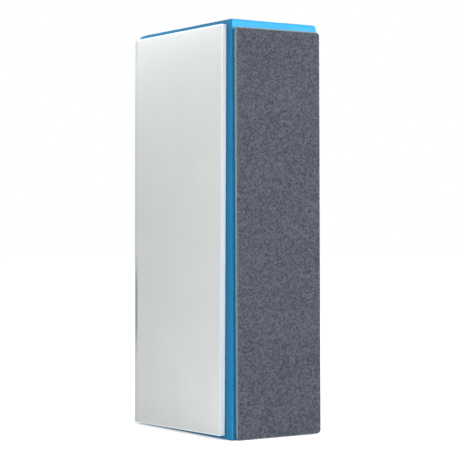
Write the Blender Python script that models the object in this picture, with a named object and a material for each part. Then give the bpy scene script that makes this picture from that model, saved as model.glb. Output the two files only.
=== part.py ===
"""Nail buffer block, standing on its end.

A blue closed-cell foam core carries three laminated sheets: a smooth shine sheet on its wide
front, a coarse abrasive strip on its narrow right side and a fine buffing sheet on its wide
back. The narrow left side stays bare foam, as the grip. Nothing on the block moves.

Metres, +Z up along the length. The front looks to -Y and the coarse strip to +X. The origin is
the bottom centre of the whole block's box.
"""

import math
from collections import namedtuple

import bmesh
import bpy
from mathutils import Matrix, Vector

MM = 0.001

# The whole block, over its laminates
LENGTH = 95 * MM
WIDTH = 42 * MM
DEPTH = 26 * MM

# Clearance under each layer of a laminate, where the real layers are bonded face to face
LAYER_GAP = 0.05 * MM

# Adhesive films stop short of the sheets that they hold
ADHESIVE_THICKNESS = 0.08 * MM
ADHESIVE_SET_BACK = 0.3 * MM
ADHESIVE_COLOR = (0.82, 0.80, 0.72)

# A layer of a laminate: its thickness, how far its outline stays inside the sheet's, its finish
Layer = namedtuple("Layer", "name thickness set_back color roughness")

# Each laminate, from the foam outwards
SHINE_LAYERS = [
    Layer("shine_adhesive", ADHESIVE_THICKNESS, ADHESIVE_SET_BACK, ADHESIVE_COLOR, 0.25),
    Layer("shine_cushion", 0.85 * MM, 0, (0.80, 0.84, 0.84), 0.75),
    Layer("shine_film", 0.12 * MM, 0, (0.78, 0.81, 0.80), 0.35),
]
COARSE_LAYERS = [
    Layer("coarse_adhesive", ADHESIVE_THICKNESS, ADHESIVE_SET_BACK, ADHESIVE_COLOR, 0.25),
    Layer("coarse_cushion", 0.50 * MM, 0, (0.40, 0.43, 0.45), 0.80),
    Layer("coarse_paper", 0.15 * MM, 0, (0.24, 0.25, 0.27), 0.85),
    Layer("coarse_grit", 0.17 * MM, 0, (0.11, 0.12, 0.14), 0.95),
]
FINE_LAYERS = [
    Layer("fine_adhesive", ADHESIVE_THICKNESS, ADHESIVE_SET_BACK, ADHESIVE_COLOR, 0.25),
    Layer("fine_cushion", 0.30 * MM, 0, (0.62, 0.64, 0.66), 0.80),
    Layer("fine_paper", 0.10 * MM, 0, (0.50, 0.52, 0.54), 0.85),
    Layer("fine_grit", 0.12 * MM, 0, (0.36, 0.39, 0.43), 0.90),
]


def stack_height(layers):
    """How far a laminate's outer face stands off the foam."""
    return sum(LAYER_GAP + layer.thickness for layer in layers)


# Foam core, between the laminates
CORE_LEFT = -WIDTH / 2
CORE_RIGHT = WIDTH / 2 - stack_height(COARSE_LAYERS)
CORE_FRONT = -DEPTH / 2 + stack_height(SHINE_LAYERS)
CORE_BACK = DEPTH / 2 - stack_height(FINE_LAYERS)
CORE_COLOR = (0.03, 0.25, 0.52)
CORE_ROUGHNESS = 0.6

# Rounding of the core's long edges
GRIP_EDGE_RADIUS = 0.5 * MM
FRONT_RIGHT_RADIUS = 0.3 * MM
BACK_RIGHT_RADIUS = 0.6 * MM

# Easing of the core's end edges: how far each runs along Z, and how far it draws the side in
END_EASE = (0.25 * MM, 0.25 * MM)
TOP_FRONT_EASE = (1.1 * MM, 0.85 * MM)
TOP_RIGHT_EASE = (1.9 * MM, 1.0 * MM)
TOP_LEFT_EASE = (0.8 * MM, 2.5 * MM)
EASE_STEPS = 6

# Shine and fine sheets: flush with the grip side, and short of the foam's other edges
SHEET_TOP_MARGIN = 1.2 * MM
SHEET_GRIP_TOP_RADIUS = 1.0 * MM
SHEET_CORNER_RADIUS = 0.2 * MM

# The shine sheet is cut a little out of square, at its bottom and right edges
SHINE_BOTTOM_MARGIN_LEFT = 0.35 * MM
SHINE_BOTTOM_MARGIN_RIGHT = 0.85 * MM
SHINE_RIGHT_MARGIN_TOP = 3.1 * MM
SHINE_RIGHT_MARGIN_BOTTOM = 3.8 * MM

FINE_BOTTOM_MARGIN = 0.5 * MM
FINE_RIGHT_MARGIN = 2.8 * MM

# The coarse strip sits low and towards the back, and is stuck on slightly askew. Its top edge
# rises a little towards the back, where the strip was cut out of square.
STRIP_WIDTH = 23.09 * MM
STRIP_OFFSET = 0.59 * MM
STRIP_TOP_MARGIN = 1.93 * MM
STRIP_TOP_RISE = 0.1 * MM
STRIP_BOTTOM_MARGIN = 0.12 * MM
STRIP_SKEW = math.radians(0.27)
STRIP_FRONT_RADIUS = 0.5 * MM
STRIP_BACK_RADIUS = 1.1 * MM

CORNER_STEPS = 6
SMOOTH_BELOW = math.radians(35)


def clear_scene():
    for item in list(bpy.data.objects):
        bpy.data.objects.remove(item, do_unlink=True)


def plain_material(name, color, roughness):
    material = bpy.data.materials.new(name)
    material.use_nodes = True
    shader = material.node_tree.nodes["Principled BSDF"]
    shader.inputs["Base Color"].default_value = (*color, 1.0)
    shader.inputs["Roughness"].default_value = roughness
    shader.inputs["Metallic"].default_value = 0.0
    return material


def finish_object(name, shape, color, roughness):
    """Turns a bmesh into a named object with its own material, its rounded edges smooth."""
    bmesh.ops.recalc_face_normals(shape, faces=shape.faces)
    mesh = bpy.data.meshes.new(name)
    shape.to_mesh(mesh)
    shape.free()
    mesh.materials.append(plain_material(name, color, roughness))
    mesh.shade_smooth()
    mesh.set_sharp_from_angle(angle=SMOOTH_BELOW)
    item = bpy.data.objects.new(name, mesh)
    bpy.context.collection.objects.link(item)
    return item


def rounded_outline(corners):
    """Anticlockwise outline through corners given as (across, up, radius), each with an arc."""
    points = [Vector((across, up)) for across, up, _ in corners]
    outline = []
    for index, (_, _, radius) in enumerate(corners):
        corner = points[index]
        to_last = (points[index - 1] - corner).normalized()
        to_next = (points[(index + 1) % len(points)] - corner).normalized()
        half_angle = to_last.angle(to_next) / 2
        start = corner + to_last * (radius / math.tan(half_angle))
        centre = corner + (to_last + to_next).normalized() * (radius / math.sin(half_angle))
        sweep = math.pi - 2 * half_angle
        for step in range(CORNER_STEPS + 1):
            turn = Matrix.Rotation(sweep * step / CORNER_STEPS, 2)
            outline.append(centre + turn @ (start - centre))
    return outline


def eased(distance, ease):
    """How far a side is drawn in at a distance from the end, along a quarter ellipse."""
    along, inward = ease
    if distance >= along:
        return 0.0
    share = (along - distance) / along
    return inward * (1 - math.sqrt(1 - share * share))


def core_levels():
    """Heights of the core's rings, closer together towards its eased ends."""
    rises = [math.sin(math.pi / 2 * step / EASE_STEPS) for step in range(EASE_STEPS + 1)]
    bottom = [END_EASE[0] * (1 - rise) for rise in reversed(rises)]
    top = [LENGTH - TOP_RIGHT_EASE[0] * (1 - rise) for rise in rises]
    return bottom + top


def core_ring(height):
    """The core's outline at one height."""
    below = eased(height, END_EASE)
    to_top = LENGTH - height
    left = CORE_LEFT + below + eased(to_top, TOP_LEFT_EASE)
    right = CORE_RIGHT - below - eased(to_top, TOP_RIGHT_EASE)
    front = CORE_FRONT + below + eased(to_top, TOP_FRONT_EASE)
    back = CORE_BACK - below - eased(to_top, END_EASE)
    return rounded_outline([
        (left, front, GRIP_EDGE_RADIUS),
        (right, front, FRONT_RIGHT_RADIUS),
        (right, back, BACK_RIGHT_RADIUS),
        (left, back, GRIP_EDGE_RADIUS),
    ])


def build_core():
    """The foam block, lofted through its rings and closed flat at both ends."""
    shape = bmesh.new()
    rings = []
    for height in core_levels():
        ring = [shape.verts.new((point.x, point.y, height)) for point in core_ring(height)]
        rings.append(ring)
    for lower, upper in zip(rings, rings[1:]):
        for index in range(len(lower)):
            last = index - 1
            shape.faces.new((lower[last], lower[index], upper[index], upper[last]))
    shape.faces.new(list(reversed(rings[0])))
    shape.faces.new(rings[-1])
    return finish_object("foam_core", shape, CORE_COLOR, CORE_ROUGHNESS)


def face_frame(name, location, turn, skew=0.0):
    """An empty on a side of the foam: its X runs across the side, its Y up, its Z outwards."""
    frame = bpy.data.objects.new(name, None)
    bpy.context.collection.objects.link(frame)
    upright = Matrix.Rotation(turn, 4, "Z") @ Matrix.Rotation(math.pi / 2, 4, "X")
    frame.matrix_world = Matrix.Translation(location) @ upright @ Matrix.Rotation(skew, 4, "Z")
    return frame


def inset_corners(corners, distance):
    """The same corners, moved towards the outline's middle along both directions."""
    middle_across = sum(across for across, _, _ in corners) / len(corners)
    middle_up = sum(up for _, up, _ in corners) / len(corners)
    return [
        (
            across - math.copysign(distance, across - middle_across),
            up - math.copysign(distance, up - middle_up),
            radius,
        )
        for across, up, radius in corners
    ]


def build_layer(layer, corners, frame, height):
    """One flat layer of a laminate, its inner face at a height above the foam."""
    shape = bmesh.new()
    outline = rounded_outline(inset_corners(corners, layer.set_back))
    inner = shape.faces.new([shape.verts.new((point.x, point.y, 0)) for point in outline])
    extruded = bmesh.ops.extrude_face_region(shape, geom=[inner], use_keep_orig=True)
    outer = [part for part in extruded["geom"] if isinstance(part, bmesh.types.BMVert)]
    bmesh.ops.translate(shape, verts=outer, vec=(0, 0, layer.thickness))
    item = finish_object(layer.name, shape, layer.color, layer.roughness)
    item.parent = frame
    item.location = (0, 0, height)
    return item


def build_laminate(layers, corners, frame):
    height = 0.0
    for layer in layers:
        height += LAYER_GAP
        build_layer(layer, corners, frame, height)
        height += layer.thickness


def build_shine_side():
    """The smooth sheet on the wide front: flush with the grip side, short of the right edge."""
    frame = face_frame("shine_side", (0, CORE_FRONT, 0), 0.0)
    top = LENGTH - SHEET_TOP_MARGIN
    bottom_right = WIDTH / 2 - SHINE_RIGHT_MARGIN_BOTTOM
    corners = [
        (CORE_LEFT, SHINE_BOTTOM_MARGIN_LEFT, SHEET_CORNER_RADIUS),
        (bottom_right, SHINE_BOTTOM_MARGIN_RIGHT, SHEET_CORNER_RADIUS),
        (WIDTH / 2 - SHINE_RIGHT_MARGIN_TOP, top, SHEET_CORNER_RADIUS),
        (CORE_LEFT, top, SHEET_GRIP_TOP_RADIUS),
    ]
    build_laminate(SHINE_LAYERS, corners, frame)


def build_coarse_side():
    """The abrasive strip on the narrow right side, turned slightly about its own middle."""
    strip_height = LENGTH - STRIP_TOP_MARGIN - STRIP_BOTTOM_MARGIN
    middle = STRIP_BOTTOM_MARGIN + strip_height / 2
    frame = face_frame("coarse_side", (CORE_RIGHT, STRIP_OFFSET, middle), math.pi / 2, STRIP_SKEW)
    corners = [
        (-STRIP_WIDTH / 2, -strip_height / 2, STRIP_FRONT_RADIUS),
        (STRIP_WIDTH / 2, -strip_height / 2, STRIP_BACK_RADIUS),
        (STRIP_WIDTH / 2, (strip_height + STRIP_TOP_RISE) / 2, STRIP_BACK_RADIUS),
        (-STRIP_WIDTH / 2, (strip_height - STRIP_TOP_RISE) / 2, STRIP_FRONT_RADIUS),
    ]
    build_laminate(COARSE_LAYERS, corners, frame)


def build_fine_side():
    """The buffing sheet on the wide back, whose across direction runs towards -X."""
    frame = face_frame("fine_side", (0, CORE_BACK, 0), math.pi)
    left = -WIDTH / 2 + FINE_RIGHT_MARGIN
    right = -CORE_LEFT
    top = LENGTH - SHEET_TOP_MARGIN
    corners = [
        (left, FINE_BOTTOM_MARGIN, SHEET_CORNER_RADIUS),
        (right, FINE_BOTTOM_MARGIN, SHEET_CORNER_RADIUS),
        (right, top, SHEET_GRIP_TOP_RADIUS),
        (left, top, SHEET_CORNER_RADIUS),
    ]
    build_laminate(FINE_LAYERS, corners, frame)


def main():
    clear_scene()
    build_core()
    build_shine_side()
    build_coarse_side()
    build_fine_side()


main()
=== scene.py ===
"""Looks of a nail buffer block: blue foam, a satin shine sheet, a coarse strip and a fine sheet.

Lengths are metres, +Z up. Every place is worked out from the frame's own nodes and boxes.
"""

import math
from collections import namedtuple

import bpy
import numpy as np
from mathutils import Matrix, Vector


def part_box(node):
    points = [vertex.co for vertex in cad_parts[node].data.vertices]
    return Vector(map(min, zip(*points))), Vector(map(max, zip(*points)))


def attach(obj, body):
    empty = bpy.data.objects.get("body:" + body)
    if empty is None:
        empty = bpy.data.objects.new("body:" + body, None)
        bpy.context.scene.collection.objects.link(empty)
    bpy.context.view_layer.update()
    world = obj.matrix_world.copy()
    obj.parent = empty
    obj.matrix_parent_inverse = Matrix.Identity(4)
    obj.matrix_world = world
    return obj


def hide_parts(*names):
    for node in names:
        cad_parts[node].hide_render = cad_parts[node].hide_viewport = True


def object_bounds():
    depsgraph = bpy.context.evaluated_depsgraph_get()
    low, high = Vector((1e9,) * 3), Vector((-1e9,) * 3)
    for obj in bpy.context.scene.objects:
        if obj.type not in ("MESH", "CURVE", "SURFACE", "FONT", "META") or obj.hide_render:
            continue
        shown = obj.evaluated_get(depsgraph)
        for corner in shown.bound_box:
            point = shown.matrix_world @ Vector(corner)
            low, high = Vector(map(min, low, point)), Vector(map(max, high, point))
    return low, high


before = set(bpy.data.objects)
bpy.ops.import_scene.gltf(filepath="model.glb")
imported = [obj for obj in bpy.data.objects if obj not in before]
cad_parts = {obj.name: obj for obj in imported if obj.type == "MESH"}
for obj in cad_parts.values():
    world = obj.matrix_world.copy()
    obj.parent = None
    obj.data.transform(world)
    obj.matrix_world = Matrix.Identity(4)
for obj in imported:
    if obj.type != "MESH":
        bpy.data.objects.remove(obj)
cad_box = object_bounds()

MM = 0.001

# Camera
CAMERA_PLACE = (321.9 * MM, -214.5 * MM, 46.9 * MM)
CAMERA_YAW = math.radians(56.228)
CAMERA_PITCH = math.radians(0.102)
CAMERA_LENS = 127.4
CAMERA_SENSOR = 36.0

# Rounding of the foam's upright edges and easing of its end edges, as (along Z, inward)
FRONT_RIGHT_RADIUS = 0.3 * MM
BACK_RIGHT_RADIUS = 0.6 * MM
GRIP_EDGE_RADIUS = 0.5 * MM
END_EASE = (0.25 * MM, 0.25 * MM)
TOP_FRONT_EASE = (1.1 * MM, 0.85 * MM)
TOP_RIGHT_EASE = (1.9 * MM, 1.0 * MM)
TOP_LEFT_EASE = (0.8 * MM, 2.5 * MM)

# Foam mesh: spacing of its grid, and the stretches of closer lines at its ends and sides
FOAM_STEP = 0.45 * MM
FOAM_END_STRETCH = 2.0 * MM
FOAM_END_LINES = 12
FOAM_SIDE_REACH = 0.8 * MM
FOAM_SIDE_LINES = 8

# Layers stand this far apart, so that no two surfaces coincide
LAYER_CLEARANCE = 0.012 * MM

# The soft cushions under the front and right sheets are undercut along the foam, as (up, inward)
CUSHION_UNDERCUT = (0.14 * MM, 0.10 * MM)

# Painted shade in grey along the shine film's left border, where the sheet turns over the foam's edge: the
# height of its middle and half its length
LEFT_SHADE_HEIGHT = 28.5 * MM
LEFT_SHADE_HALF_LENGTH = 13 * MM
# Distances from the border at which it starts, is full, begins to fade and ends
LEFT_SHADE_BAND = (0.352 * MM, 0.496 * MM, 1.04 * MM, 1.6 * MM)
# Its strength at its middle, and beyond its ends
LEFT_SHADE_STRENGTH = 0.9
LEFT_SHADE_TRACE = 0.13
# The same border is shaded again near the top, with painted shade from none to full between these heights
TOP_SHADE_HEIGHTS = (84 * MM, 92 * MM)
TOP_SHADE_STRENGTH = 0.36

# Width of the film's pale rim along its cut border: a painted highlight where the border would catch the
# light
FILM_RIM_HIGHLIGHT_WIDTH = 0.45 * MM

# The lit table: half its width, its own glow, and its weaker glow under the block, a painted contact shadow,
# which comes up to the full glow over the stretch outside the block's footprint. It lies this gap below the
# block.
TABLE_HALF_WIDTH = 2.4
TABLE_GLOW = 0.65
TABLE_GLOW_SHADOWED = 0.45
TABLE_SHADE_STRETCH = 0.6 * MM
TABLE_GAP = 0.02 * MM

# Above this crease angle between faces, in degrees, an edge is drawn sharp
FOAM_SHARP_ANGLE = 60
SHEET_SHARP_ANGLE = 40


# ---------------------------------------------------------------- noise

def hashed(cells, seed):
    """A repeatable number from 0 to 1 for each row of whole numbers."""
    mixed = np.full(cells.shape[:-1], seed * 7919 + 17, dtype=np.int64)
    for axis in range(cells.shape[-1]):
        mixed = (mixed ^ cells[..., axis]) * 668265263
        mixed = (mixed ^ (mixed >> 15)) & 0xFFFFFFFF
    mixed = (mixed * 2246822519) & 0xFFFFFFFF
    mixed = mixed ^ (mixed >> 13)
    return (mixed & 0xFFFFFF) / float(0xFFFFFF)


def smooth_noise(points, cell, seed):
    """Smooth noise from -1 to 1, its bumps about one cell across."""
    scaled = points / cell
    base = np.floor(scaled).astype(np.int64)
    part = scaled - base
    part = part * part * (3 - 2 * part)
    total = np.zeros(points.shape[:-1])
    for corner in np.ndindex(*(2,) * points.shape[-1]):
        weight = np.prod(np.where(np.array(corner) == 1, part, 1 - part), axis=-1)
        total += weight * hashed(base + np.array(corner), seed)
    return 2 * total - 1


def crushed_grains(points, cell, seed):
    """Heights from 0 to 1 of angular grains scattered over a plane, about one to a cell."""
    scaled = points / cell
    base = np.floor(scaled).astype(np.int64)
    height = np.zeros(points.shape[:-1])
    for shift in np.ndindex(3, 3):
        cells = base + np.array(shift) - 1
        centre = cells + 0.15 + 0.7 * np.stack([hashed(cells, seed), hashed(cells, seed + 1)], -1)
        turn = hashed(cells, seed + 2) * math.pi
        away = scaled - centre
        along = np.abs(away[..., 0] * np.cos(turn) + away[..., 1] * np.sin(turn))
        across = np.abs(away[..., 1] * np.cos(turn) - away[..., 0] * np.sin(turn))
        top = 0.45 + 0.55 * hashed(cells, seed + 3)
        slope = 0.9 + 0.8 * hashed(cells, seed + 4)
        height = np.maximum(height, np.minimum(top, 1.25 * top - slope * np.maximum(along, across)))
    return height


# ---------------------------------------------------------------- meshes

def new_object(name, points, faces, material, sharp_angle):
    """A linked mesh object, smooth but for edges sharper than the angle in degrees."""
    mesh = bpy.data.meshes.new(name)
    mesh.from_pydata([tuple(point) for point in points], [], faces)
    mesh.materials.append(material)
    mesh.shade_smooth()
    mesh.set_sharp_from_angle(angle=math.radians(sharp_angle))
    mesh.update()
    item = bpy.data.objects.new(name, mesh)
    bpy.context.scene.collection.objects.link(item)
    return item


def finish_piece(item, node):
    """Rides the piece on the block, in the place of its CAD node."""
    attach(item, "root")
    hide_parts(node)


# ---------------------------------------------------------------- foam core

def graded_lines(low, high, step, ends):
    """Grid lines from low to high: the given distances from each end, and even steps between."""
    inner_low, inner_high = low + ends[-1], high - ends[-1]
    count = max(1, round((inner_high - inner_low) / step))
    middle = np.linspace(inner_low, inner_high, count + 1)
    return np.concatenate([low + ends[:-1], middle, (high - ends[:-1])[::-1]])


def box_lattice(xs, ys, zs):
    """Points and outward quads of the skin of a box, one vertex wherever its grid lines cross."""
    shape = (len(xs), len(ys), len(zs))
    skin = np.zeros(shape, bool)
    for axis in range(3):
        np.moveaxis(skin, axis, 0)[[0, -1]] = True
    ids = np.full(shape, -1)
    ids[skin] = np.arange(skin.sum())
    points = np.stack(np.meshgrid(xs, ys, zs, indexing="ij"), -1)[skin]
    faces = []
    for axis in range(3):
        for side in (0, -1):
            layer = np.take(ids, side, axis=axis)
            quads = np.stack([layer[:-1, :-1], layer[1:, :-1], layer[1:, 1:], layer[:-1, 1:]], -1)
            quads = quads.reshape(-1, 4)
            if (side == 0) != (axis == 1):
                quads = quads[:, ::-1]
            faces += quads.tolist()
    return points, faces


def round_upright_edge(points, edge, radius):
    """Pulls the square corner at one upright edge of the box in to a quarter circle."""
    signs = np.sign(edge)
    centre = edge - signs * radius
    local = (points[:, :2] - centre) * signs / radius
    inside = (local > 0).all(axis=1)
    reach = np.hypot(local[inside, 0], local[inside, 1])
    local[inside] *= (local[inside].max(axis=1) / reach)[:, None]
    points[inside, :2] = centre + local[inside] * signs * radius


def eased(distance, ease):
    """How far a side is drawn in at a distance from the end, along a quarter ellipse."""
    along, inward = ease
    share = np.clip((along - distance) / along, 0, 1)
    return inward * (1 - np.sqrt(1 - share * share))


def ease_ends(points, low, high):
    """Draws the sides in towards the block's two ends."""
    to_bottom = points[:, 2] - low[2]
    to_top = high[2] - points[:, 2]
    below = eased(to_bottom, END_EASE)
    left = low[0] + below + eased(to_top, TOP_LEFT_EASE)
    right = high[0] - below - eased(to_top, TOP_RIGHT_EASE)
    front = low[1] + below + eased(to_top, TOP_FRONT_EASE)
    back = high[1] - below - eased(to_top, END_EASE)
    share = (points[:, 0] - low[0]) / (high[0] - low[0])
    points[:, 0] = left + share * (right - left)
    share = (points[:, 1] - low[1]) / (high[1] - low[1])
    points[:, 1] = front + share * (back - front)


def foam_relief(points):
    """Depth of the foam's uneven skin: slow hollows from handling, and its cells."""
    hollows = smooth_noise(points, 9 * MM, 3) * 0.030 * MM
    lumps = smooth_noise(points, 2.2 * MM, 4) * 0.018 * MM
    cells = smooth_noise(points, 0.7 * MM, 5) * 0.016 * MM
    return hollows + lumps + cells - 0.05 * MM


def build_foam(material):
    """The foam core: a fine box skin, rounded and eased like its CAD body, with an uneven surface."""
    low, high = (np.array(corner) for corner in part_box("foam_core"))
    turns = np.linspace(0, math.pi / 2, FOAM_END_LINES + 1)
    end_lines = FOAM_END_STRETCH * (1 - np.cos(turns))
    side_lines = np.linspace(0, FOAM_SIDE_REACH, FOAM_SIDE_LINES + 1)
    points, faces = box_lattice(
        graded_lines(low[0], high[0], FOAM_STEP, side_lines),
        graded_lines(low[1], high[1], FOAM_STEP, side_lines),
        graded_lines(low[2], high[2], FOAM_STEP, end_lines),
    )
    middle = np.array([(low[0] + high[0]) / 2, (low[1] + high[1]) / 2, 0])
    points -= middle
    half = (high - low)[:2] / 2
    for sign_x, sign_y, radius in (
        (1, -1, FRONT_RIGHT_RADIUS),
        (1, 1, BACK_RIGHT_RADIUS),
        (-1, -1, GRIP_EDGE_RADIUS),
        (-1, 1, GRIP_EDGE_RADIUS),
    ):
        round_upright_edge(points, half * (sign_x, sign_y), radius)
    points += middle
    ease_ends(points, low, high)
    foam = new_object("foam_block", points, faces, material, FOAM_SHARP_ANGLE)
    normals = np.zeros(len(points) * 3)
    foam.data.vertices.foreach_get("normal", normals)
    relief = foam_relief(points)
    relief[points[:, 2] < low[2] + 0.01 * MM] = 0
    moved = points + normals.reshape(-1, 3) * relief[:, None]
    foam.data.vertices.foreach_set("co", moved.ravel())
    foam.data.update()
    finish_piece(foam, "foam_core")


# ---------------------------------------------------------------- laminated sheets

class Side:
    """A side of the block: axes across, up and outwards, as unit vectors."""

    def __init__(self, across, outward):
        self.across = np.array(across, float)
        self.up = np.array((0.0, 0.0, 1.0))
        self.outward = np.array(outward, float)

    def flat(self, points):
        """Places across and up the side."""
        return np.stack([points @ self.across, points @ self.up], -1)

    def solid(self, flat, height):
        """Places in space from places on the side and heights outwards."""
        return flat[..., :1] * self.across + flat[..., 1:] * self.up + height[..., None] * self.outward


FRONT = Side((1, 0, 0), (0, -1, 0))
RIGHT = Side((0, 1, 0), (1, 0, 0))
BACK = Side((-1, 0, 0), (0, 1, 0))


def node_points(node):
    """The vertices of a CAD node."""
    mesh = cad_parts[node].data
    points = np.zeros(len(mesh.vertices) * 3)
    mesh.vertices.foreach_get("co", points)
    return points.reshape(-1, 3)


def node_heights(node, side):
    """Heights of a node's inner and outer face along the side's outward direction."""
    heights = node_points(node) @ side.outward
    return heights.min(), heights.max()


def crossing(first, second):
    """Where two lines cross, each given as (point, direction)."""
    matrix = np.stack([first[1], -second[1]], -1)
    step = np.linalg.solve(matrix, second[0] - first[0])
    return first[0] + first[1] * step[0]


def sheet_corners(node, side):
    """The four corners of a sheet before rounding, anticlockwise from bottom left, and radii."""
    flat = np.unique(np.round(side.flat(node_points(node)), 7), axis=0)
    away = flat - flat.mean(axis=0)
    flat = flat[np.argsort(np.arctan2(away[:, 1], away[:, 0]))]
    edges = np.roll(flat, -1, axis=0) - flat
    longest = sorted(np.argsort(-np.linalg.norm(edges, axis=1))[:4])
    lines = [(flat[index], edges[index]) for index in longest]
    corners, radii = [], []
    for index in range(4):
        last = lines[index - 1]
        corner = crossing(last, lines[index])
        corners.append(corner)
        radii.append(np.linalg.norm(corner - lines[index][0]))
    start = int(np.argmin([corner.sum() for corner in corners]))
    order = [(start + index) % 4 for index in range(4)]
    return np.array([corners[index] for index in order]), [radii[index] for index in order]


def sheet_grid(corners, radii, step):
    """A grid of points over the sheet, its square corners pulled in to their rounding."""
    bottom_left, bottom_right, top_right, top_left = corners
    width = np.linalg.norm(bottom_right - bottom_left)
    height = np.linalg.norm(top_left - bottom_left)
    across = np.linspace(0, 1, round(width / step) + 1)[:, None]
    up = np.linspace(0, 1, round(height / step) + 1)[None, :]
    from_left, from_bottom = np.broadcast_arrays(across * width, up * height)
    from_left, from_bottom = from_left.copy(), from_bottom.copy()
    for (sign_x, sign_y), radius in zip(((-1, -1), (1, -1), (1, 1), (-1, 1)), radii):
        to_side = from_left if sign_x < 0 else width - from_left
        to_end = from_bottom if sign_y < 0 else height - from_bottom
        first, second = 1 - to_side / radius, 1 - to_end / radius
        inside = (first > 0) & (second > 0)
        reach = np.hypot(first[inside], second[inside])
        pull = np.maximum(first, second)[inside] / reach
        new_side, new_end = radius * (1 - first[inside] * pull), radius * (1 - second[inside] * pull)
        from_left[inside] = new_side if sign_x < 0 else width - new_side
        from_bottom[inside] = new_end if sign_y < 0 else height - new_end
    across, up = (from_left / width)[..., None], (from_bottom / height)[..., None]
    lower = bottom_left * (1 - across) + bottom_right * across
    upper = top_left * (1 - across) + top_right * across
    return lower * (1 - up) + upper * up, np.minimum(
        np.minimum(from_left, width - from_left), np.minimum(from_bottom, height - from_bottom)
    )


def border(ids):
    """The outer ring of a grid of indices, anticlockwise."""
    return np.concatenate([ids[:-1, 0], ids[-1, :-1], ids[:0:-1, -1], ids[0, :0:-1]])


def wall_profile(rings, undercut):
    """The cut edge from the face down, as (share of the way, distance inward) pairs."""
    upper = 1 - undercut
    profile = [(upper * index / rings, 0.0) for index in range(1, rings + 1)]
    if undercut:
        inward = CUSHION_UNDERCUT[1]
        profile += [(upper + undercut * 0.15, inward * 0.7), (upper + undercut * 0.5, inward), (1.0, inward)]
    return profile


# One layer of a laminate: its CAD node, record slot, material and face relief; the grid step of its
# face; how far its outermost line drops; the rings, unevenness and undercut of its cut edge
Layer = namedtuple("Layer", "node slot_name material relief step edge_drop rings jitter undercut",
                   defaults=(0.0, 0.0))


def build_sheet(side, layer, inner):
    """A sheet with a modelled face and a cut edge, between the height inner and its node's face."""
    corners, radii = sheet_corners(layer.node, side)
    flat, to_edge = sheet_grid(corners, radii, layer.step)
    outer = node_heights(layer.node, side)[1]
    height = outer + layer.relief(flat)
    height[to_edge < layer.step / 4] -= layer.edge_drop
    points = [side.solid(flat, height).reshape(-1, 3)]
    ids = np.arange(flat.shape[0] * flat.shape[1]).reshape(flat.shape[:2])
    quads = np.stack([ids[:-1, :-1], ids[1:, :-1], ids[1:, 1:], ids[:-1, 1:]], -1).reshape(-1, 4)
    faces = quads.tolist()
    ring = border(ids)
    ring_flat, ring_height = flat.reshape(-1, 2)[ring], height.ravel()[ring]
    tangent = np.roll(ring_flat, -1, axis=0) - np.roll(ring_flat, 1, axis=0)
    tangent /= np.linalg.norm(tangent, axis=1)[:, None]
    outward = np.stack([tangent[:, 1], -tangent[:, 0]], -1)
    count = ids.size
    for share, inset in wall_profile(layer.rings, layer.undercut / (outer - inner)):
        level = ring_height * (1 - share) + inner * share
        spot = np.concatenate([ring_flat, level[:, None]], axis=1)
        bulge = layer.jitter * (smooth_noise(spot, 0.35 * MM, 11) - 0.3) - inset
        lower = ring_flat + outward * bulge[:, None]
        points.append(side.solid(lower, level))
        new_ring = np.arange(count, count + len(ring))
        count += len(ring)
        faces += np.stack([ring, new_ring, np.roll(new_ring, -1), np.roll(ring, -1)], -1).tolist()
        ring = new_ring
    faces.append(ring[::-1].tolist())
    item = new_object(layer.node + "_sheet", np.concatenate(points), faces, layer.material, SHEET_SHARP_ANGLE)
    distances = np.zeros(len(item.data.vertices), np.float32)
    distances[:to_edge.size] = to_edge.ravel()
    stored = item.data.attributes.new("to_edge", "FLOAT", "POINT")
    stored.data.foreach_set("value", distances)
    finish_piece(item, layer.node)


# ---------------------------------------------------------------- materials

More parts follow.
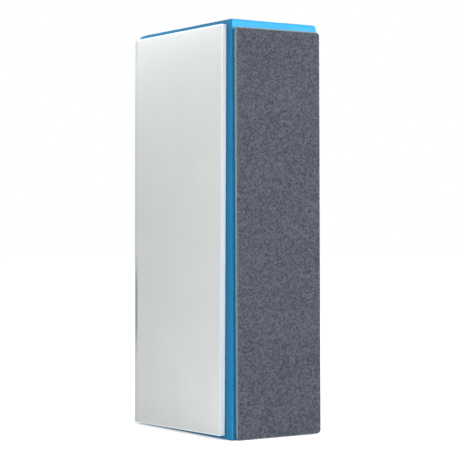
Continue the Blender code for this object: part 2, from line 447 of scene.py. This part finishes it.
class Finish:
    """One material: texture, mixing and bump nodes that end in a Principled shader."""

    def __init__(self, name):
        self.material = bpy.data.materials.new(name)
        self.material.use_nodes = True
        self.tree = self.material.node_tree
        self.shader = self.tree.nodes["Principled BSDF"]
        self.places = self.add("ShaderNodeTexCoord").outputs["Object"]

    def add(self, kind, inputs=None, **settings):
        """A node with its settings; each input is a socket to link or a plain value."""
        node = self.tree.nodes.new(kind)
        for key, value in settings.items():
            setattr(node, key, value)
        for key, value in (inputs or {}).items():
            if isinstance(value, bpy.types.NodeSocket):
                self.tree.links.new(value, node.inputs[key])
            else:
                node.inputs[key].default_value = value
        return node

    def stretched(self, size):
        """Object places divided by a feature size along each axis."""
        scale = tuple(1 / length for length in size)
        return self.add("ShaderNodeMapping", {"Vector": self.places, "Scale": scale}).outputs["Vector"]

    def noise(self, size, detail=2.0):
        """Cloudy noise from 0 to 1, its features about the given size."""
        size = size if isinstance(size, tuple) else (size, size, size)
        inputs = {"Vector": self.stretched(size), "Scale": 1.0, "Detail": detail}
        return self.add("ShaderNodeTexNoise", inputs).outputs["Fac"]

    def cells(self, size, output="Distance"):
        """Cells of about one size: distance to the cell's middle, or a colour for each cell."""
        inputs = {"Vector": self.stretched((size, size, size)), "Scale": 1.0}
        return self.add("ShaderNodeTexVoronoi", inputs).outputs[output]

    def spread(self, value, low, high, to_low, to_high):
        """Maps a range of a value to another range, held at its ends."""
        inputs = {"Value": value, "From Min": low, "From Max": high, "To Min": to_low, "To Max": to_high}
        return self.add("ShaderNodeMapRange", inputs).outputs["Result"]

    def math(self, operation, *values):
        """One sum on numbers, each a socket or a plain value."""
        node = self.add("ShaderNodeMath", operation=operation)
        for index, value in enumerate(values):
            if isinstance(value, bpy.types.NodeSocket):
                self.tree.links.new(value, node.inputs[index])
            else:
                node.inputs[index].default_value = value
        return node.outputs["Value"]

    def split(self):
        """Object places along X, Y and Z."""
        outputs = self.add("ShaderNodeSeparateXYZ", {"Vector": self.places}).outputs
        return outputs["X"], outputs["Y"], outputs["Z"]

    def mix(self, share, first, second):
        """The first colour, with a share of the second."""
        node = self.add("ShaderNodeMix", data_type="RGBA")
        for index, value in ((0, share), (6, first), (7, second)):
            if isinstance(value, bpy.types.NodeSocket):
                self.tree.links.new(value, node.inputs[index])
            elif index:
                node.inputs[index].default_value = (*value, 1)
            else:
                node.inputs[index].default_value = value
        return node.outputs[2]

    def edge_distance(self):
        """Distance from the sheet's border, stored with its mesh."""
        return self.add("ShaderNodeAttribute", attribute_name="to_edge").outputs["Fac"]

    def bump(self, height, distance, normal=None):
        """A normal bent by a height of 0 to 1 over the given depth."""
        inputs = {"Height": height, "Distance": distance, "Strength": 1.0}
        if normal is not None:
            inputs["Normal"] = normal
        return self.add("ShaderNodeBump", inputs).outputs["Normal"]

    def close(self, color, roughness, normal, **values):
        """Links the colour, roughness and normal, and sets the other shader values."""
        self.tree.links.new(color, self.shader.inputs["Base Color"])
        self.tree.links.new(roughness, self.shader.inputs["Roughness"])
        self.tree.links.new(normal, self.shader.inputs["Normal"])
        for key, value in values.items():
            self.shader.inputs[key.replace("_", " ")].default_value = value
        return self.material


def foam_finish():
    """Closed-cell foam: fine cells, faint cloudy patches and a dry, dull skin."""
    make = Finish("blue_foam_look")
    cell = make.cells(0.28 * MM)
    grain = make.noise(0.12 * MM, 3.0)
    cloud = make.noise(7 * MM, 3.0)
    color = make.mix(make.spread(cloud, 0.3, 0.7, 0, 1), (0.0095, 0.122, 0.242), (0.0115, 0.136, 0.266))
    color = make.mix(make.spread(cell, 0.25, 0.75, 0, 0.25), color, (0.004, 0.078, 0.172))
    roughness = make.spread(grain, 0.3, 0.7, 0.62, 0.82)
    normal = make.bump(cell, -0.012 * MM)
    normal = make.bump(grain, 0.012 * MM, normal)
    return make.close(color, roughness, normal, Specular_IOR_Level=0.12)


def left_border_shade(make):
    """Share of grey along the film's left border: painted shade, strongest low down and again at the top."""
    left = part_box("shine_film")[0][0]
    across, _, up = make.split()
    start, full, fade, end = (left + distance for distance in LEFT_SHADE_BAND)
    band = make.math("MULTIPLY", make.spread(across, start, full, 0, 1), make.spread(across, fade, end, 1, 0))
    from_middle = make.math("ABSOLUTE", make.math("SUBTRACT", up, LEFT_SHADE_HEIGHT))
    low_shade = make.spread(from_middle, LEFT_SHADE_HALF_LENGTH / 3, LEFT_SHADE_HALF_LENGTH, LEFT_SHADE_STRENGTH, LEFT_SHADE_TRACE)
    top_shade = make.spread(up, *TOP_SHADE_HEIGHTS, 0, TOP_SHADE_STRENGTH)
    return make.math("MULTIPLY", band, make.math("MAXIMUM", low_shade, top_shade))


def film_finish():
    """Satin film: faint upright drawing lines, cloudy patches, a painted highlight along its rim and painted
    shade along its left border.
    """
    make = Finish("shine_film_look")
    streak = make.noise((0.35 * MM, 0.35 * MM, 45 * MM), 3.0)
    cloud = make.noise(11 * MM, 3.0)
    grain = make.noise(0.09 * MM, 2.0)
    color = make.mix(make.spread(cloud, 0.3, 0.7, 0, 1), (0.380, 0.399, 0.394), (0.397, 0.415, 0.411))
    color = make.mix(make.spread(streak, 0.35, 0.65, 0, 0.35), color, (0.360, 0.383, 0.379))
    # The pale rim is a painted highlight along the film's cut border
    rim = make.spread(make.edge_distance(), 0.0, FILM_RIM_HIGHLIGHT_WIDTH, 0.7, 0)
    color = make.mix(rim, color, (0.57, 0.62, 0.64))
    # Painted shade along the film's left border, in dark grey
    color = make.mix(left_border_shade(make), color, (0.11, 0.13, 0.14))
    roughness = make.spread(streak, 0.3, 0.7, 0.34, 0.46)
    normal = make.bump(streak, 0.006 * MM)
    normal = make.bump(grain, 0.0015 * MM, normal)
    return make.close(color, roughness, normal, Specular_IOR_Level=0.5)


def cushion_finish(name, pale, dark, cell_size):
    """Cut edge of a soft foam layer: open little cells, uneven colour."""
    make = Finish(name)
    cell = make.cells(cell_size)
    grain = make.noise(cell_size / 2, 3.0)
    cloud = make.noise(4 * MM, 2.0)
    color = make.mix(make.spread(cell, 0.2, 0.8, 0, 1), pale, dark)
    color = make.mix(make.spread(cloud, 0.35, 0.65, 0, 0.3), color, dark)
    roughness = make.spread(grain, 0.3, 0.7, 0.7, 0.9)
    normal = make.bump(cell, -0.02 * MM)
    normal = make.bump(grain, 0.01 * MM, normal)
    return make.close(color, roughness, normal, Specular_IOR_Level=0.25)


def paper_finish(name, pale, dark):
    """Cut edge of latex paper: short fibres lying along the sheet."""
    make = Finish(name)
    fibre = make.noise((0.9 * MM, 0.9 * MM, 0.12 * MM), 3.0)
    cloud = make.noise(3 * MM, 2.0)
    color = make.mix(make.spread(fibre, 0.35, 0.65, 0, 1), pale, dark)
    color = make.mix(make.spread(cloud, 0.35, 0.65, 0, 0.3), color, pale)
    roughness = make.spread(fibre, 0.3, 0.7, 0.75, 0.92)
    return make.close(color, roughness, make.bump(fibre, 0.01 * MM), Specular_IOR_Level=0.25)


def grit_finish(name, node, dark, middle, pale, grain_size, rim_wear_and_highlight_color):
    """Bonded abrasive grains: each its own grey, darker resin between, the border worn pale in patches, with
    a painted highlight along the top edge.
    """
    make = Finish(name)
    each = make.cells(grain_size, "Color")
    between = make.cells(grain_size)
    dust = make.noise(grain_size * 1.2, 3.0)
    cloud = make.noise(9 * MM, 3.0)
    color = make.mix(make.spread(each, 0.25, 0.75, 0, 1), dark, pale)
    color = make.mix(make.spread(dust, 0.35, 0.65, 0.05, 0.5), color, middle)
    color = make.mix(make.spread(between, 0.45, 0.95, 0, 0.4), color, dark)
    color = make.mix(make.spread(cloud, 0.35, 0.65, 0, 0.08), color, pale)
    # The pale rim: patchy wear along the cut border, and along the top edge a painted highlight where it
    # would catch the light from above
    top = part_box(node)[1][2]
    patchy = make.spread(make.noise(0.5 * MM, 3.0), 0.35, 0.6, 0.0, 0.35)
    top_highlight = make.spread(make.split()[2], top - 0.6 * MM, top - 0.3 * MM, 0, 0.9)
    at_edge = make.spread(make.edge_distance(), 0.08 * MM, 0.32 * MM, 1, 0)
    rim = make.math("MULTIPLY", at_edge, make.math("MAXIMUM", patchy, top_highlight))
    color = make.mix(rim, color, rim_wear_and_highlight_color)
    roughness = make.spread(each, 0.0, 1.0, 0.6, 0.95)
    normal = make.bump(between, -0.02 * MM)
    normal = make.bump(dust, 0.012 * MM, normal)
    return make.close(color, roughness, normal, Specular_IOR_Level=0.02)


def adhesive_finish():
    """Transfer adhesive film: yellowish, a little stringy."""
    make = Finish("adhesive_look")
    string = make.noise((1.5 * MM, 1.5 * MM, 0.3 * MM), 3.0)
    cloud = make.noise(3 * MM, 2.0)
    color = make.mix(make.spread(cloud, 0.3, 0.7, 0, 1), (0.52, 0.46, 0.30), (0.66, 0.61, 0.46))
    roughness = make.spread(string, 0.3, 0.7, 0.25, 0.55)
    return make.close(color, roughness, make.bump(string, 0.02 * MM), Specular_IOR_Level=0.5)


# ---------------------------------------------------------------- stage

def footprint_distance(make):
    """Distance outside the block's footprint on the table."""
    def step(operation, first, second=None):
        inputs = {0: first} if second is None else {0: first, 1: second}
        return make.add("ShaderNodeVectorMath", inputs, operation=operation).outputs

    half_size = (cad_box[1][0], cad_box[1][1], 0)
    flat = step("MULTIPLY", make.places, (1, 1, 0))[0]
    outside = step("SUBTRACT", step("ABSOLUTE", flat)[0], half_size)[0]
    return step("LENGTH", step("MAXIMUM", outside, (0, 0, 0))[0])["Value"]


def build_floor():
    """A pale lit table that glows less under the block: a painted contact shadow."""
    size = TABLE_HALF_WIDTH
    mesh = bpy.data.meshes.new("floor")
    corners = [(-size, -size, 0), (size, -size, 0), (size, size, 0), (-size, size, 0)]
    mesh.from_pydata(corners, [], [(0, 1, 2, 3)])
    make = Finish("floor_white")
    make.shader.inputs["Base Color"].default_value = (0.35, 0.35, 0.35, 1)
    make.shader.inputs["Roughness"].default_value = 0.9
    make.shader.inputs["Emission Color"].default_value = (1, 1, 1, 1)
    # Painted contact shadow: the glow drops under the block's footprint and just outside it
    glow = make.spread(footprint_distance(make), 0.0, TABLE_SHADE_STRETCH, TABLE_GLOW_SHADOWED, TABLE_GLOW)
    make.tree.links.new(glow, make.shader.inputs["Emission Strength"])
    mesh.materials.append(make.material)
    floor = bpy.data.objects.new("floor", mesh)
    floor.location.z = cad_box[0][2] - TABLE_GAP
    bpy.context.scene.collection.objects.link(floor)


def add_softbox(name, place, target, width, height, power):
    """A rectangular lamp at a place, facing a target, its power in watts."""
    light = bpy.data.lights.new(name, "AREA")
    light.shape = "RECTANGLE"
    light.size, light.size_y = width, height
    light.energy = power
    item = bpy.data.objects.new(name, light)
    item.location = place
    direction = np.array(target) - np.array(place)
    tilt = math.atan2(math.hypot(direction[0], direction[1]), -direction[2])
    turn = math.atan2(direction[1], direction[0]) - math.pi / 2
    item.rotation_euler = (tilt, 0, turn)
    item.visible_camera = False
    bpy.context.scene.collection.objects.link(item)


def build_lights():
    """White surroundings, a main softbox behind and to the right, and small cards for the front."""
    world = bpy.data.worlds.new("studio")
    world.use_nodes = True
    world.node_tree.nodes["Background"].inputs["Color"].default_value = (1, 1, 1, 1)
    world.node_tree.nodes["Background"].inputs["Strength"].default_value = 1.0
    bpy.context.scene.world = world
    add_softbox("right_softbox", (0.66, 0.50, 0.24), (0, 0, 0.045), 0.30, 0.50, 30)
    add_softbox("corner_card", (-0.028, -0.030, 0.104), (-0.014, -0.013, 0.092), 0.015, 0.015, 0.0036)
    add_softbox("left_card", (-0.035, -0.040, 0.110), (-0.012, -0.013, 0.090), 0.02, 0.02, 0.0024)
    add_softbox("top_card", (0, -0.055, 0.125), (0, -0.013, 0.085), 0.05, 0.02, 0.019)
    add_softbox("right_card", (0.050, -0.045, 0.045), (0.012, -0.013, 0.045), 0.015, 0.10, 0.014)
    add_softbox("table_card", (0, -0.045, 0.003), (0, -0.013, 0.008), 0.05, 0.006, 0.0034)


def build_camera():
    """The camera, level with the middle of the block and off its near right corner."""
    camera = bpy.data.cameras.new("camera")
    camera.lens = CAMERA_LENS
    camera.sensor_width = CAMERA_SENSOR
    item = bpy.data.objects.new("camera", camera)
    item.location = CAMERA_PLACE
    item.rotation_euler = (math.pi / 2 + CAMERA_PITCH, 0, CAMERA_YAW)
    bpy.context.scene.collection.objects.link(item)
    bpy.context.scene.camera = item


def flat_relief(flat):
    return np.zeros(flat.shape[:2])


def film_relief(flat):
    """Slow waves of the thin sheet, less than a twentieth of a millimetre high."""
    return 0.02 * MM * smooth_noise(flat, 22 * MM, 21) + 0.004 * MM * smooth_noise(flat, 5 * MM, 22)


def coarse_relief(flat):
    """Angular grains over slow waves."""
    grains = crushed_grains(flat, 0.32 * MM, 31)
    return 0.05 * MM * (grains - 0.75) + 0.02 * MM * smooth_noise(flat, 6 * MM, 35)


def fine_relief(flat):
    """Lower, wider lumps than the coarse strip's; the fine grains themselves are in the material."""
    grains = crushed_grains(flat, 0.45 * MM, 41)
    return 0.03 * MM * (grains - 0.75) + 0.02 * MM * smooth_noise(flat, 8 * MM, 45)


def build_layers(side, *layers):
    """Stacks a side's layers outwards from the foam, each on top of the one below."""
    below = (node_points("foam_core") @ side.outward).max() + LAYER_CLEARANCE
    for layer in layers:
        build_sheet(side, layer, below)
        below = node_heights(layer.node, side)[1] + LAYER_CLEARANCE


def build_shine_sheet():
    """The smooth sheet on the front: a white cushion under a satin film."""
    # The cushion's own colour is white; its raised brightness and blue tint are painted light, the blue foam
    # shining through its cut edge
    cushion = cushion_finish("white_cushion_look", (0.66, 0.72, 0.76), (0.56, 0.63, 0.68), 0.15 * MM)
    build_layers(
        FRONT,
        Layer("shine_cushion", "white_cushion", cushion, flat_relief, step=0.8 * MM,
              edge_drop=0.02 * MM, rings=4, jitter=0.03 * MM, undercut=CUSHION_UNDERCUT[0]),
        Layer("shine_film", "shine_film", film_finish(), film_relief, step=0.5 * MM,
              edge_drop=0.03 * MM, rings=2),
    )


def build_coarse_strip():
    """The coarse abrasive on the right: cushion, dark paper and dark grit."""
    # The cushion's own colour is grey; its blue tint is painted light bounced from the blue foam beside it
    cushion = cushion_finish("grey_cushion_look", (0.20, 0.26, 0.30), (0.13, 0.17, 0.205), 0.15 * MM)
    paper = paper_finish("dark_paper_look", (0.22, 0.26, 0.285), (0.13, 0.155, 0.18))
    grit = grit_finish("coarse_grit_look", "coarse_grit", (0.0112, 0.013, 0.0175), (0.0225, 0.025, 0.031),
                       (0.037, 0.0405, 0.0495), 0.36 * MM, (0.085, 0.110, 0.120))
    build_layers(
        RIGHT,
        Layer("coarse_cushion", "grey_cushion", cushion, flat_relief, step=0.8 * MM,
              edge_drop=0.02 * MM, rings=4, jitter=0.04 * MM, undercut=CUSHION_UNDERCUT[0]),
        Layer("coarse_paper", "dark_paper", paper, flat_relief, step=0.8 * MM,
              edge_drop=0.0, rings=2, jitter=0.02 * MM),
        Layer("coarse_grit", "coarse_grit", grit, coarse_relief, step=0.155 * MM,
              edge_drop=0.04 * MM, rings=2),
    )


def build_fine_sheet():
    """The fine abrasive on the back: cushion, pale paper and blue-grey grit."""
    # The cushion, paper and grit colours here are darker than the sheet's own: painted shade that holds down
    # the main softbox's light on the back face
    cushion = cushion_finish("pale_cushion_look", (0.34, 0.37, 0.39), (0.27, 0.30, 0.33), 0.15 * MM)
    paper = paper_finish("pale_paper_look", (0.30, 0.31, 0.33), (0.23, 0.24, 0.26))
    grit = grit_finish("fine_grit_look", "fine_grit", (0.075, 0.09, 0.105), (0.125, 0.14, 0.16),
                       (0.19, 0.21, 0.23), 0.16 * MM, (0.21, 0.23, 0.25))
    build_layers(
        BACK,
        Layer("fine_cushion", "pale_cushion", cushion, flat_relief, step=0.8 * MM,
              edge_drop=0.02 * MM, rings=3, jitter=0.04 * MM),
        Layer("fine_paper", "pale_paper", paper, flat_relief, step=0.8 * MM,
              edge_drop=0.0, rings=2, jitter=0.02 * MM),
        Layer("fine_grit", "fine_grit", grit, fine_relief, step=0.25 * MM,
              edge_drop=0.03 * MM, rings=2),
    )


def finish_adhesives():
    """The hidden adhesive films keep their CAD meshes and get their own material."""
    material = adhesive_finish()
    for node in ("shine_adhesive", "coarse_adhesive", "fine_adhesive"):
        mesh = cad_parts[node].data
        mesh.materials.clear()
        mesh.materials.append(material)


build_camera()
build_lights()
build_floor()
build_foam(foam_finish())
build_shine_sheet()
build_coarse_strip()
build_fine_sheet()
finish_adhesives()

bpy.context.scene.view_settings.view_transform = "Standard"
